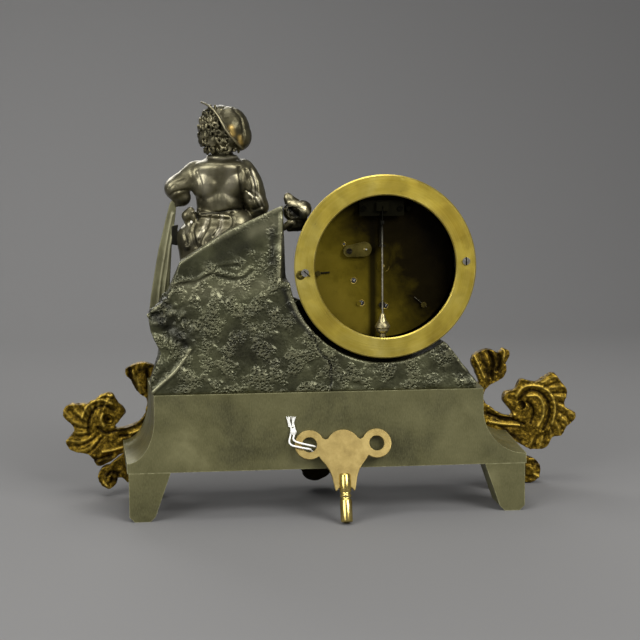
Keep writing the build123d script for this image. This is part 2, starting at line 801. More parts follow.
def make_bezel_base():
    base = drum_tube(bezel_base_front_y, drum_front_y, bezel_base_radius, dial_view_radius)
    base += drum_tube(drum_front_y, drum_front_y + spigot_length, spigot_radius, spigot_radius - spigot_wall)
    x, y, z = hinge_place()
    third = hinge_length / 3
    knuckle = Pos(x, y, z) * Cylinder(hinge_radius, third)
    root = box_between((x, y, z - third / 2), (x + hinge_reach + hinge_radius, drum_front_y, z + third / 2))
    root -= drum_rod((0, 0), door_front_y - overrun, door_back_y + face_gap, door_radius + face_gap)
    base += knuckle + root
    base -= Pos(x, y, z) * Cylinder(hinge_pin_radius + slip_gap, hinge_length)
    return one_solid(base)


def hinge_place():
    # The hinge axis, beside the bezel on the side away from the figure.
    angle = math.radians(180 - hinge_angle)
    radius = bezel_base_radius + hinge_reach
    return (drum_x + radius * math.cos(angle), door_back_y - hinge_radius / 2,
            drum_z + radius * math.sin(angle))


def make_bezel_door():
    inner = door_radius - door_face_width
    door = drum_tube(door_front_y, door_back_y, door_radius, inner)
    outer_edge = door.edges().filter_by(GeomType.CIRCLE).group_by(Axis.Y)[0]
    door = chamfer(outer_edge, door_depth / 3)
    glass_front_y = glass_place_y()
    door -= drum_rod((0, 0), glass_front_y, door_back_y + overrun, inner + glass_lap)
    x, y, z = hinge_place()
    third = hinge_length / 3
    for end in (-1, 1):
        middle = z + end * (third + seam_gap)
        knuckle = Pos(x, y, middle) * Cylinder(hinge_radius, third)
        arm = box_between((x, y - hinge_radius / 2, middle - third / 2),
                          (x + 2 * hinge_reach + hinge_radius, y + hinge_radius / 2, middle + third / 2))
        arm -= drum_rod((0, 0), door_front_y - overrun, drum_front_y, door_radius - hinge_reach)
        arm -= drum_rod((0, 0), door_back_y, drum_front_y, bezel_base_radius + face_gap)
        door += knuckle + arm
    door -= Pos(x, y, z) * Cylinder(hinge_pin_radius + slip_gap, 2 * hinge_length)
    return one_solid(door)


def glass_place_y():
    return door_back_y - door_depth / 2


def make_bezel_glass():
    inner = door_radius - door_face_width
    y = glass_place_y()
    return drum_rod((0, 0), y + slip_gap, y + slip_gap + glass_thickness, inner + glass_lap - slip_gap)


def make_hinge_pin():
    x, y, z = hinge_place()
    return Pos(x, y, z) * Cylinder(hinge_pin_radius, hinge_length + 2 * hinge_pin_radius)


def dial_foot_places():
    places = []
    for degrees in dial_foot_angles:
        angle = math.radians(degrees)
        places.append((dial_foot_circle * math.cos(angle), dial_foot_circle * math.sin(angle)))
    return places


def make_dial():
    dial = drum_rod((0, 0), dial_front_y, dial_back_y, dial_radius)
    dial -= drum_rod((0, 0), dial_front_y - overrun, dial_back_y + overrun, dial_hole_radius)
    dial -= drum_rod(barrel_place, dial_front_y - overrun, dial_back_y + overrun, winding_hole_radius)
    foot_end_y = front_plate_back_y + 4 * dial_pin_radius
    for place in dial_foot_places():
        dial += drum_rod(place, dial_back_y, foot_end_y, dial_foot_radius)
    for place in dial_foot_places():
        dial -= dial_pin_at(place, dial_pin_radius + slip_gap)
    return one_solid(dial)


def dial_pin_at(place, radius):
    y = front_plate_back_y + dial_pin_radius + seam_gap
    pin = Rot(0, 90, 0) * Cylinder(radius, dial_pin_length)
    return Pos(drum_x + place[0], y, drum_z + place[1]) * pin


# Wheels and pinions


def toothed_face(teeth, pitch_radius, first_angle, tooth_share, tip_share):
    module = 2 * pitch_radius / teeth
    tip = pitch_radius + addendum_share * module
    root = pitch_radius - dedendum_share * module
    step = 2 * math.pi / teeth
    shape = ((root, -tooth_share / 2), (pitch_radius, -tooth_share / 2), (tip, -tip_share / 2),
             (tip, tip_share / 2), (pitch_radius, tooth_share / 2), (root, tooth_share / 2))
    points = []
    for i in range(teeth):
        middle = first_angle + i * step
        for radius, share in shape:
            angle = middle + share * step
            points.append((radius * math.cos(angle), radius * math.sin(angle)))
    return xz_polygon(points)


def root_radius(teeth, pitch_radius):
    return pitch_radius - dedendum_share * 2 * pitch_radius / teeth


def toothed_disc(place, y, thickness, teeth, pitch_radius, first_angle, tooth_share, tip_share):
    face = toothed_face(teeth, pitch_radius, first_angle, tooth_share, tip_share)
    return Pos(drum_x + place[0], 0, drum_z + place[1]) * along_y(face, y, y + thickness)


def crossed_out(place, y, thickness, root):
    # The windows between a wheel's spokes.
    windows = drum_rod(place, y - overrun, y + thickness + overrun, root * wheel_rim_share)
    windows -= drum_rod(place, y - overrun, y + thickness + overrun, root * wheel_hub_share)
    centre = Pos(drum_x + place[0], y + thickness / 2, drum_z + place[1])
    for i in range(spoke_count // 2):
        turn = Rot(0, i * 360 / spoke_count, 0)
        windows -= centre * turn * Box(2 * root, thickness + 4 * overrun, spoke_width)
    return windows


def spoked_wheel(place, y, teeth, pitch_radius, first_angle):
    wheel = toothed_disc(place, y, wheel_thickness, teeth, pitch_radius, first_angle, wheel_tooth_share,
                         wheel_tip_share)
    return wheel - crossed_out(place, y, wheel_thickness, root_radius(teeth, pitch_radius))


def leaf_pinion(place, y, length, leaves, pitch_radius, first_angle):
    return toothed_disc(place, y, length, leaves, pitch_radius, first_angle, pinion_tooth_share,
                        pinion_tip_share)


def gap_between(first, second):
    return math.hypot(second[0] - first[0], second[1] - first[1])


def heading(first, second):
    return math.atan2(second[1] - first[1], second[0] - first[0])


def pair_radii(first, second, teeth, leaves):
    # Pitch radii of a wheel and the pinion it drives, from the distance between their arbors.
    distance = gap_between(first, second)
    wheel = distance * teeth / (teeth + leaves)
    return wheel, distance - wheel


def wheel_phase(first, second, teeth, leaves):
    # The angle of a wheel tooth, so that a gap of the wheel holds the pinion leaf nearest the line of centres.
    # The pinion has a leaf at the angle zero.
    toward = heading(first, second)
    leaf_step = 2 * math.pi / leaves
    offset = (leaf_step / 2 - toward - math.pi) % leaf_step - leaf_step / 2
    return toward - offset * leaves / teeth + math.pi / teeth


def make_centre_arbor():
    wheel_radius, third_radius = pair_radii(centre_place, third_place, centre_teeth, third_leaves)
    great_radius, pinion_radius = pair_radii(barrel_place, centre_place, great_teeth, centre_leaves)
    arbor = drum_rod(centre_place, minute_hand_y - collet_height, back_plate_back_y + overrun,
                     centre_post_radius)
    arbor += spoked_wheel(centre_place, centre_wheel_y, centre_teeth, wheel_radius,
                          wheel_phase(centre_place, third_place, centre_teeth, third_leaves))
    arbor += leaf_pinion(centre_place, great_wheel_y - overrun, pinion_length, centre_leaves, pinion_radius, 0)
    arbor += drum_rod(centre_place, front_plate_back_y + seam_gap, centre_wheel_y + overrun,
                      2 * centre_post_radius)
    arbor += drum_rod(centre_place, back_plate_y - overrun, back_plate_y - seam_gap, 2 * centre_post_radius)
    return one_solid(arbor)


def make_third_wheel():
    wheel_radius, escape_pinion_radius = pair_radii(third_place, escape_place, third_teeth, escape_leaves)
    centre_radius, pinion_radius = pair_radii(centre_place, third_place, centre_teeth, third_leaves)
    arbor = drum_rod(third_place, front_plate_back_y + face_gap, back_plate_y - face_gap, arbor_radius)
    arbor += drum_rod(third_place, front_plate_y, back_plate_back_y + face_gap, pivot_radius)
    arbor += spoked_wheel(third_place, third_wheel_y, third_teeth, wheel_radius,
                          wheel_phase(third_place, escape_place, third_teeth, escape_leaves))
    arbor += leaf_pinion(third_place, centre_wheel_y - overrun / 2, pinion_length - overrun, third_leaves,
                         pinion_radius, 0)
    return one_solid(arbor)


def escape_face():
    # Pointed teeth that lean one way.
    points = []
    step = 2 * math.pi / escape_teeth
    for i in range(escape_teeth):
        root_angle = i * step
        tip_angle = root_angle + step * wheel_tip_share
        points.append(((escape_radius - escape_tooth_depth) * math.cos(root_angle),
                       (escape_radius - escape_tooth_depth) * math.sin(root_angle)))
        points.append((escape_radius * math.cos(tip_angle), escape_radius * math.sin(tip_angle)))
    return xz_polygon(points)


def make_escape_wheel():
    third_radius, pinion_radius = pair_radii(third_place, escape_place, third_teeth, escape_leaves)
    front_y = potence_arm_y()
    arbor = drum_rod(escape_place, front_y + potence_thickness + face_gap, back_plate_y - face_gap,
                     arbor_radius)
    arbor += drum_rod(escape_place, front_y + face_gap, cock_y() + cock_thickness + face_gap, pivot_radius)
    wheel = Pos(drum_x + escape_place[0], 0, drum_z + escape_place[1]) * along_y(
        escape_face(), escape_wheel_y, escape_wheel_y + wheel_thickness)
    wheel -= crossed_out(escape_place, escape_wheel_y, wheel_thickness, escape_radius - escape_tooth_depth)
    arbor += wheel
    arbor += leaf_pinion(escape_place, third_wheel_y - overrun / 2, pinion_length - overrun, escape_leaves,
                         pinion_radius, 0)
    return one_solid(arbor)


# Barrel, its spring and winding work


def make_barrel():
    great_radius, pinion_radius = pair_radii(barrel_place, centre_place, great_teeth, centre_leaves)
    barrel = drum_rod(barrel_place, barrel_y, great_wheel_y, barrel_radius)
    barrel += toothed_disc(barrel_place, great_wheel_y - wheel_thickness, 2 * wheel_thickness, great_teeth,
                           great_radius, wheel_phase(barrel_place, centre_place, great_teeth, centre_leaves),
                           wheel_tooth_share, wheel_tip_share)
    barrel -= drum_rod(barrel_place, barrel_y + barrel_wall, great_wheel_y + 2 * wheel_thickness,
                       barrel_radius - barrel_wall)
    barrel -= drum_rod(barrel_place, barrel_y - overrun, barrel_y + 2 * barrel_wall,
                       barrel_arbor_radius + slip_gap)
    return one_solid(barrel)


def make_barrel_cap():
    outer = barrel_radius - barrel_wall - slip_gap
    cap = drum_rod(barrel_place, great_wheel_y - wheel_thickness, great_wheel_y, outer)
    return cap - drum_rod(barrel_place, barrel_y, great_wheel_y + overrun, barrel_arbor_radius + slip_gap)


def spiral_line(start_radius):
    points = []
    for i in range(spring_turns * spring_steps + 1):
        angle = 2 * math.pi * i / spring_steps
        radius = start_radius + spring_pitch * i / spring_steps
        points.append((radius * math.cos(angle), 0, radius * math.sin(angle)))
    return Spline(points)


def make_mainspring():
    inner = spiral_line(spring_inner_radius)
    outer = spiral_line(spring_inner_radius + spring_thickness)
    face = make_face([inner, outer, Line(inner @ 0, outer @ 0), Line(inner @ 1, outer @ 1)])
    low = barrel_y + barrel_wall + face_gap
    high = great_wheel_y - wheel_thickness - face_gap
    return Pos(drum_x + barrel_place[0], 0, drum_z + barrel_place[1]) * along_y(face, low, high)


def ratchet_y():
    return front_plate_y - ratchet_thickness - face_gap


def ratchet_face():
    points = []
    step = 2 * math.pi / ratchet_teeth
    for i in range(ratchet_teeth):
        angle = i * step
        points.append(((ratchet_radius - ratchet_tooth_depth) * math.cos(angle),
                       (ratchet_radius - ratchet_tooth_depth) * math.sin(angle)))
        points.append((ratchet_radius * math.cos(angle), ratchet_radius * math.sin(angle)))
    return xz_polygon(points)


def make_barrel_arbor():
    arbor = drum_rod(barrel_place, front_plate_y - face_gap, back_plate_y - face_gap, barrel_arbor_radius)
    arbor += drum_rod(barrel_place, back_plate_y - overrun, back_plate_back_y + barrel_arbor_tail,
                      barrel_arbor_radius - slip_gap)
    arbor += drum_rod(barrel_place, barrel_y + barrel_wall + face_gap,
                      great_wheel_y - wheel_thickness - face_gap, spring_inner_radius - face_gap)
    square_end_y = ratchet_y() - winding_square_length
    arbor += box_between((drum_x + barrel_place[0] - winding_square / 2, square_end_y,
                          drum_z + barrel_place[1] - winding_square / 2),
                         (drum_x + barrel_place[0] + winding_square / 2, front_plate_y,
                          drum_z + barrel_place[1] + winding_square / 2))
    return one_solid(arbor)


def make_ratchet_wheel():
    y = ratchet_y()
    wheel = Pos(drum_x + barrel_place[0], 0, drum_z + barrel_place[1]) * along_y(
        ratchet_face(), y, y + ratchet_thickness)
    hole = winding_square / 2 + slip_gap
    wheel -= box_between((drum_x + barrel_place[0] - hole, y - overrun, drum_z + barrel_place[1] - hole),
                         (drum_x + barrel_place[0] + hole, front_plate_y, drum_z + barrel_place[1] + hole))
    return one_solid(wheel)


def click_pivot():
    # The click turns on a screw beside the ratchet wheel, above its right shoulder.
    x = barrel_place[0] - ratchet_radius - click_width / 2 - face_gap
    z = barrel_place[1] + click_length
    return x, z


def make_click():
    x, z = click_pivot()
    y = ratchet_y()
    outline = xz_polygon([(x - click_width / 2, z + click_width / 2), (x + click_width / 2, z + click_width / 2),
                          (x + click_width / 2, z - click_length + click_width),
                          (x + click_width / 2, z - click_length),
                          (x - click_width / 2, z - click_length + click_width)])
    click = Pos(drum_x, 0, drum_z) * along_y(outline, y, y + ratchet_thickness)
    click += drum_rod((x, z), y, y + ratchet_thickness, click_width / 2 + face_gap)
    click -= drum_rod((x, z), y - overrun, y + ratchet_thickness + overrun, click_screw_radius + slip_gap)
    return one_solid(click)


def make_click_screw():
    x, z = click_pivot()
    y = ratchet_y()
    screw = drum_rod((x, z), y - face_gap, front_plate_y + plate_thickness / 2, click_screw_radius)
    screw += drum_rod((x, z), y - overrun - face_gap, y - face_gap, click_width / 2)
    return one_solid(screw)


def make_click_spring():
    # A blade that leans on the click's shoulder, on a foot that stands on the front plate.
    x, z = click_pivot()
    y = ratchet_y()
    blade_x = x - click_width / 2 - face_gap - click_spring_gap
    foot_x = blade_x - click_width / 2
    foot_z = z + click_width
    blade = box_between((drum_x + blade_x - spring_thickness, y, drum_z + z - click_spring_length),
                        (drum_x + blade_x, y + ratchet_thickness, drum_z + foot_z))
    foot = drum_rod((foot_x, foot_z), y, front_plate_y, click_width / 2)
    return one_solid(blade + foot)


# Plates, pillars and cocks


def make_front_plate():
    plate = drum_rod(centre_place, front_plate_y, front_plate_back_y, plate_radius)
    for place in pillar_places:
        plate -= drum_rod(place, front_plate_y - overrun, front_plate_back_y + overrun,
                          pillar_end_radius + slip_gap)
    for place in dial_foot_places():
        plate -= drum_rod(place, front_plate_y - overrun, front_plate_back_y + overrun,
                          dial_foot_radius + slip_gap)
    for place in (third_place, pallet_place):
        plate -= drum_rod(place, front_plate_y - overrun, front_plate_back_y + overrun,
                          pivot_radius + slip_gap)
    plate -= drum_rod(centre_place, front_plate_y - overrun, front_plate_back_y + overrun,
                      centre_post_radius + slip_gap)
    plate -= drum_rod(barrel_place, front_plate_y - overrun, front_plate_back_y + overrun,
                      barrel_arbor_radius + slip_gap)
    plate -= drum_rod(click_pivot(), front_plate_y - overrun, front_plate_back_y + overrun,
                      click_screw_radius + slip_gap)
    plate -= drum_rod(potence_foot(), front_plate_y - overrun, front_plate_back_y + overrun,
                      small_screw_radius + slip_gap)
    stud = minute_stud_place()
    plate += drum_rod(stud, hour_wheel_y, front_plate_y, minute_stud_radius)
    return one_solid(plate)


def make_back_plate():
    plate = drum_rod(centre_place, back_plate_y, back_plate_back_y, plate_radius)
    for place in pillar_places:
        plate -= drum_rod(place, back_plate_y - overrun, back_plate_back_y + overrun,
                          pillar_end_radius + slip_gap)
    plate += drum_rod(centre_place, back_plate_back_y - overrun, back_plate_back_y + overrun / 2,
                      4 * centre_post_radius)
    plate -= drum_rod(centre_place, back_plate_y - overrun, back_plate_back_y + overrun,
                      centre_post_radius + slip_gap)
    plate -= drum_rod(third_place, back_plate_y - overrun, back_plate_back_y + overrun,
                      pivot_radius + slip_gap)
    for place in (escape_place, pallet_place):
        plate -= drum_rod(place, back_plate_y - overrun, back_plate_back_y + overrun,
                          4 * arbor_radius)
    plate -= drum_rod(barrel_place, back_plate_y - overrun, back_plate_back_y + overrun,
                      barrel_arbor_radius)
    for place in [cock_screw_place()] + back_cock_foot_places():
        plate -= drum_rod(place, back_plate_y - overrun, back_plate_back_y + overrun,
                          small_screw_radius + slip_gap)
    plate += drum_rod(stud_place, back_plate_back_y - overrun, back_plate_back_y + stud_length, stud_radius)
    return one_solid(plate)


def make_pillars():
    pillars = []
    for place in pillar_places:
        shoulder = plate_thickness
        body = drum_rod(place, front_plate_back_y, back_plate_y, pillar_waist_radius)
        body += drum_rod(place, front_plate_back_y, front_plate_back_y + shoulder, pillar_radius)
        body += drum_rod(place, back_plate_y - shoulder, back_plate_y, pillar_radius)
        body += drum_rod(place, front_plate_y, back_plate_back_y + pillar_end_length, pillar_end_radius)
        pillars.append(body)
    pins = taper_pins(taper_pin_radius + slip_gap)
    return Compound([one_solid(pillar - pin) for pillar, pin in zip(pillars, pins)])


def taper_pins(radius):
    pins = []
    y = back_plate_back_y + taper_pin_radius + seam_gap
    for place, turn in zip(pillar_places, pillar_pin_turns):
        pin = Pos(-taper_pin_length / 4, 0, 0) * Rot(0, 90, 0) * Cylinder(radius, taper_pin_length)
        pins.append(Pos(drum_x + place[0], y, drum_z + place[1]) * Rot(0, -turn + 180, 0) * pin)
    return pins


def make_taper_pins():
    # The pins through the pillars' ends, and the thinner ones through the dial's feet.
    dial_pins = [dial_pin_at(place, dial_pin_radius) for place in dial_foot_places()]
    return Compound(taper_pins(taper_pin_radius) + dial_pins)


def potence_arm_y():
    return front_plate_back_y + potence_height - potence_thickness


def potence_foot():
    angle = heading(centre_place, escape_place)
    return potence_reach * math.cos(angle), potence_reach * math.sin(angle)


def make_potence():
    # An inner bridge that stands on the front plate and reaches over the centre wheel.
    foot = potence_foot()
    angle = math.degrees(heading(centre_place, escape_place))
    arm_y = potence_arm_y()
    reach = gap_between(foot, escape_place)
    body = drum_rod(foot, front_plate_back_y, arm_y + potence_thickness, potence_width / 2)
    body += drum_rod(escape_place, arm_y, arm_y + potence_thickness, potence_width / 2)
    body += Pos(drum_x, 0, drum_z) * Rot(0, -angle, 0) * box_between(
        (potence_reach - reach, arm_y, -potence_width / 2),
        (potence_reach, arm_y + potence_thickness, potence_width / 2))
    body += drum_rod(foot, front_plate_y, front_plate_back_y + overrun, small_screw_radius)
    body -= drum_rod(escape_place, arm_y - overrun, arm_y + potence_thickness + overrun,
                     pivot_radius + slip_gap)
    return one_solid(body)


def cock_y():
    return back_plate_back_y + cock_rise


def cock_screw_place():
    return escape_place[0] + cock_length_left - cock_half_width / 2, escape_place[1] - cock_half_width / 4


def make_escape_cock():
    # The oval cock on the back plate that holds the escape wheel's rear pivot.
    y = cock_y()
    foot = cock_screw_place()
    round_end = cock_half_width * cock_foot_share
    cock = drum_rod(escape_place, y, y + cock_thickness, cock_half_width)
    cock += drum_rod(foot, back_plate_back_y, y + cock_thickness, round_end)
    cock += Pos(drum_x, 0, drum_z) * along_y(xz_polygon([
        (escape_place[0], escape_place[1] + cock_half_width), (foot[0], foot[1] + round_end),
        (foot[0], foot[1] - round_end), (escape_place[0], escape_place[1] - cock_half_width)]),
        y, y + cock_thickness)
    cock -= drum_rod(escape_place, y - overrun, y + cock_thickness + overrun, pivot_radius + slip_gap)
    cock -= drum_rod(foot, back_plate_back_y - overrun, y + cock_thickness + overrun,
                     small_screw_radius + slip_gap)
    return one_solid(cock)


def make_cock_screws():
    screws = []
    back_cock_places = back_cock_foot_places()
    levels = [(cock_screw_place(), cock_y() + cock_thickness)]
    levels += [(place, back_cock_y + back_cock_thickness) for place in back_cock_places]
    for place, seat_y in levels:
        head = drum_rod(place, seat_y, seat_y + ring_screw_head_height, small_screw_head_radius)
        shank = drum_rod(place, back_plate_y, seat_y, small_screw_radius)
        slot = Pos(drum_x + place[0], seat_y + ring_screw_head_height, drum_z + place[1]) * Box(
            2 * small_screw_head_radius + overrun, 2 * screw_slot_depth, screw_slot_width)
        screws.append(one_solid(head + shank - slot))
    return screws


def back_cock_foot_places():
    half = back_cock_width / 2 - back_cock_height / 4
    z = pallet_place[1] + back_cock_height / 4
    return [(pallet_place[0] + side * half, z) for side in (-1, 1)]


def make_back_cock():
    # The bridge that holds the pallet arbor's rear pivot and the pendulum's suspension.
    x, z = drum_x + pallet_place[0], drum_z + pallet_place[1]
    half = back_cock_width / 2
    low = z - back_cock_height / 4
    bar = box_between((x - half, back_cock_y, low), (x + half, back_cock_y + back_cock_thickness,
                                                   z + 3 * back_cock_height / 4))
    for place in back_cock_foot_places():
        bar += drum_rod(place, back_plate_back_y, back_cock_y, back_cock_height / 4)
        bar -= drum_rod(place, back_plate_back_y - overrun, back_cock_y + back_cock_thickness + overrun,
                        small_screw_radius + slip_gap)
    bar -= drum_rod(pallet_place, back_cock_y - overrun, back_cock_y + back_cock_thickness + overrun,
                    pivot_radius + slip_gap)
    chops = box_between((x - chops_width / 2, chops_y, z + suspension_width / 4),
                        (x + chops_width / 2, pendulum_y + suspension_width / 2 + face_gap,
                         z + suspension_width / 4 + chops_height))
    slot = suspension_thickness / 2 + face_gap
    chops -= box_between((x - slot, pendulum_y - suspension_width / 2 - face_gap, z),
                         (x + slot, drum_back_y, z + chops_height / 2 + suspension_width / 4))
    return one_solid(bar + chops)


# Pallets, crutch and pendulum


def make_pallets():
    x, z = pallet_place
    reach = gap_between(pallet_place, escape_place)
    toward = heading(pallet_place, escape_place)
    body = drum_rod(pallet_place, front_plate_back_y + face_gap, back_plate_y + plate_thickness + face_gap,
                    arbor_radius)
    body += drum_rod(pallet_place, front_plate_y, back_cock_y + back_cock_thickness, pivot_radius)
    nib = escape_radius + pallet_clearance
    arm_low = reach - escape_radius * pallet_tip_share
    for side in (-1, 1):
        outline = [(0, -side * pallet_arm_width / 2),
                   (reach * pallet_bend_share, side * (nib - pallet_arm_width / 2)),
                   (arm_low, side * nib), (arm_low, side * (nib + pallet_arm_width)),
                   (reach * pallet_outer_bend_share, side * (nib + pallet_arm_width)),
                   (0, side * pallet_arm_width)]
        arm = xz_polygon(outline)
        arm = Rot(0, -math.degrees(toward), 0) * along_y(arm, 0, pallet_thickness)
        body += Pos(drum_x + x, escape_wheel_y - face_gap, drum_z + z) * arm
    crutch_low = z - crutch_length
    body += box_between((drum_x + x - crutch_radius, crutch_y, drum_z + crutch_low),
                        (drum_x + x + crutch_radius, crutch_y + 2 * crutch_radius, drum_z + z))
    foot_y = crutch_y + crutch_radius
    fork_y = pendulum_y + 2 * rod_radius
    gap = rod_radius + face_gap
    body += box_between((drum_x + x - gap - fork_width, foot_y, drum_z + crutch_low),
                        (drum_x + x + gap + fork_width, fork_y, drum_z + crutch_low + fork_width))
    body -= box_between((drum_x + x - gap, pendulum_y - rod_radius - 2 * face_gap,
                         drum_z + crutch_low - overrun),
                        (drum_x + x + gap, fork_y + overrun, drum_z + crutch_low + fork_width + overrun))
    return one_solid(body)


def make_pendulum_rod():
    x, z = drum_x + pallet_place[0], drum_z + pallet_place[1]
    blade_top = z + suspension_width / 4 + chops_height / 3
    blade_low = z - suspension_length
    rod_low = z - bob_top_drop - bob_height
    blade = box_between((x - suspension_thickness / 2, pendulum_y - suspension_width / 2, blade_low),
                        (x + suspension_thickness / 2, pendulum_y + suspension_width / 2, blade_top))
    hook = Pos(x, pendulum_y, blade_low) * Box(4 * rod_radius, suspension_width, 4 * rod_radius)
    rod = Pos(x, pendulum_y, (blade_low + rod_low) / 2) * Cylinder(rod_radius, blade_low - rod_low)
    thread_low = rod_low - rod_thread_length
    thread = Pos(x, pendulum_y, (rod_low + thread_low) / 2) * Cylinder(rod_thread_radius,
                                                                       rod_thread_length)
    return one_solid(blade + hook + rod + thread)


# The bob's profile: shares of its radius and of its height, from the top down.
bob_shares = ((0.16, 0.0), (0.30, 0.05), (0.42, 0.24), (0.62, 0.42), (0.80, 0.50), (0.98, 0.62), (1.0, 0.70),
              (0.84, 0.76), (0.80, 0.86), (0.60, 0.96), (0.34, 1.0))


def make_bob():
    top = drum_z + pallet_place[1] - bob_top_drop
    bore = rod_radius + slip_gap
    points = [(bore, 0, 0)]
    points += [(max(u * bob_radius, bore + slip_gap), 0, -v * bob_height) for u, v in bob_shares]
    points.append((bore, 0, -bob_height))
    profile = make_face(Polyline(points, close=True))
    return Pos(drum_x + pallet_place[0], pendulum_y, top) * revolve(profile, Axis.Z)


def make_rating_nut():
    top = drum_z + pallet_place[1] - bob_top_drop - bob_height - seam_gap
    nut = Cylinder(nut_radius, nut_height) - Cylinder(rod_thread_radius + slip_gap, 2 * nut_height)
    return Pos(drum_x + pallet_place[0], pendulum_y, top - nut_height / 2) * nut


# Motion work and hands


def minute_stud_place():
    distance = motion_module * (cannon_teeth + minute_wheel_teeth) / 2
    angle = math.radians(minute_stud_angle)
    return distance * math.cos(angle), distance * math.sin(angle)


def motion_wheel(place, y, thickness, teeth, first_angle):
    radius = motion_module * teeth / 2
    return toothed_disc(place, y, thickness, teeth, radius, first_angle, pinion_tooth_share, wheel_tip_share)


def hour_pair_module():
    distance = gap_between(centre_place, minute_stud_place())
    return 2 * distance / (minute_pinion_teeth + hour_wheel_teeth)


def make_cannon_pinion():
    toward = heading(centre_place, minute_stud_place())
    pipe = drum_rod(centre_place, minute_hand_y + hand_thickness + seam_gap, cannon_back_y, cannon_radius)
    pipe += motion_wheel(centre_place, minute_wheel_y - face_gap, wheel_thickness + 2 * face_gap, cannon_teeth,
                         toward)
    pipe -= drum_rod(centre_place, dial_front_y - door_depth, front_plate_y, centre_post_radius + slip_gap)
    return one_solid(pipe)


def make_minute_wheel():
    stud = minute_stud_place()
    back = heading(stud, centre_place)
    wheel = motion_wheel(stud, minute_wheel_y, wheel_thickness, minute_wheel_teeth,
                         back + math.pi / minute_wheel_teeth)
    radius = hour_pair_module() * minute_pinion_teeth / 2
    wheel += toothed_disc(stud, hour_wheel_y, minute_wheel_y - hour_wheel_y, minute_pinion_teeth, radius, back,
                          pinion_tooth_share, wheel_tip_share)
    wheel -= drum_rod(stud, hour_wheel_y - overrun, front_plate_y, minute_stud_radius + slip_gap)
    return one_solid(wheel)


def make_hour_wheel():
    toward = heading(centre_place, minute_stud_place())
    radius = hour_pair_module() * hour_wheel_teeth / 2
    wheel = toothed_disc(centre_place, hour_wheel_y, wheel_thickness, hour_wheel_teeth, radius,
                         toward + math.pi / hour_wheel_teeth, wheel_tooth_share, wheel_tip_share)
    wheel += drum_rod(centre_place, hour_hand_y + hand_thickness + seam_gap, hour_wheel_y + wheel_thickness,
                      hour_pipe_radius)
    wheel -= drum_rod(centre_place, hour_hand_y, front_plate_y, cannon_radius + slip_gap)
    return one_solid(wheel)


# A hand from its hub to its point with a swelling between, as shares of its width and of its length.
hand_shares = ((-0.25, 0.0), (-0.25, 0.55), (-0.5, 0.68), (-0.25, 0.80), (0.0, 1.0), (0.25, 0.80), (0.5, 0.68),
               (0.25, 0.55), (0.25, 0.0))


def hand_outline(length, hub):
    tail = hand_width / 4
    outline = [(hand_width * across, length * along) for across, along in hand_shares]
    return outline + [(tail, -hub - hand_width / 2), (-tail, -hub - hand_width / 2)]


def make_hand(length, y, hub, bore, turn):
    blade = along_y(xz_polygon(hand_outline(length, hub)), y, y + hand_thickness)
    hand = rod_y(0, 0, y, y + hand_thickness, hub) + blade
    hand -= rod_y(0, 0, y - overrun, y + overrun + hand_thickness, bore)
    return Pos(drum_x, 0, drum_z) * Rot(0, turn, 0) * one_solid(hand)


def make_hour_hand():
    return make_hand(hour_hand_length, hour_hand_y, hour_pipe_radius + overrun, cannon_radius + slip_gap,
                     hour_hand_turn)


def make_minute_hand():
    return make_hand(minute_hand_length, minute_hand_y, cannon_radius + overrun,
                     centre_post_radius + slip_gap, minute_hand_turn)


def make_hand_collet():
    y = minute_hand_y - seam_gap
    collet = drum_rod(centre_place, y - collet_height, y, collet_radius)
    return collet - drum_rod(centre_place, y - 2 * collet_height, y + overrun,
                             centre_post_radius + slip_gap)


# Child figure and what lies by it


# The tunic's sections from the seat up: each is a share of the height from the seat to the shoulders, then its
# half width as a share of the hips' and how far it leans towards the head, as a share of the whole lean.
torso_shares = ((-0.10, 0.86, 0.00), (0.02, 0.98, 0.00), (0.17, 1.02, 0.00), (0.30, 1.00, 0.00),
                (0.40, 0.78, 0.00), (0.47, 0.57, 0.05), (0.56, 0.54, 0.10), (0.70, 0.57, 0.20), (0.82, 0.62, 0.35),
                (0.94, 0.72, 0.50), (1.02, 0.76, 0.60), (1.08, 0.62, 0.80), (1.13, 0.40, 0.95), (1.16, 0.26, 1.00))
# Joints of the limbs, leftward and backward as shares of the hips' half width and up as a share of the height
# from the seat to the shoulders.
left_arm_shares = ((0.54, 0.00, 0.965), (1.04, 0.10, 0.79))
right_arm_shares = ((-0.60, 0.00, 0.93), (-0.94, 0.10, 0.65), (-0.58, -0.68, 0.54))
hip_joint_share = 0.5
knee_share = 0.62
heel_share = 1.1


def body_block():
    rise = shoulder_z - seat_z
    lean = head_x - figure_x
    sections = []
    for height_share, width_share, lean_share in torso_shares:
        plane = Plane(origin=(figure_x + lean * lean_share, figure_y, seat_z + height_share * rise),
                      z_dir=(0, 0, 1))
        half_width = hip_half_width * width_share
        sections.append(plane * Ellipse(half_width, half_width * torso_depth_share))
    return loft(sections)


def limb_point(shares):
    across, back, up = shares
    return (figure_x + hip_half_width * across, figure_y + hip_half_width * back,
            seat_z + (shoulder_z - seat_z) * up)


def make_figure_body(rock, oar):
    neck = capsule((head_x, figure_y, shoulder_z), (head_x, figure_y, head_z - head_radius / 2),
                   neck_radius, neck_radius)
    body = body_block() + neck
    return one_solid(body - head_block() - rock - oar)


def head_block():
    # Turned a little, so that the ball's seam stays clear of the neck's.
    return Pos(head_x, figure_y, head_z) * Rot(20, 0, 50) * Sphere(head_radius)


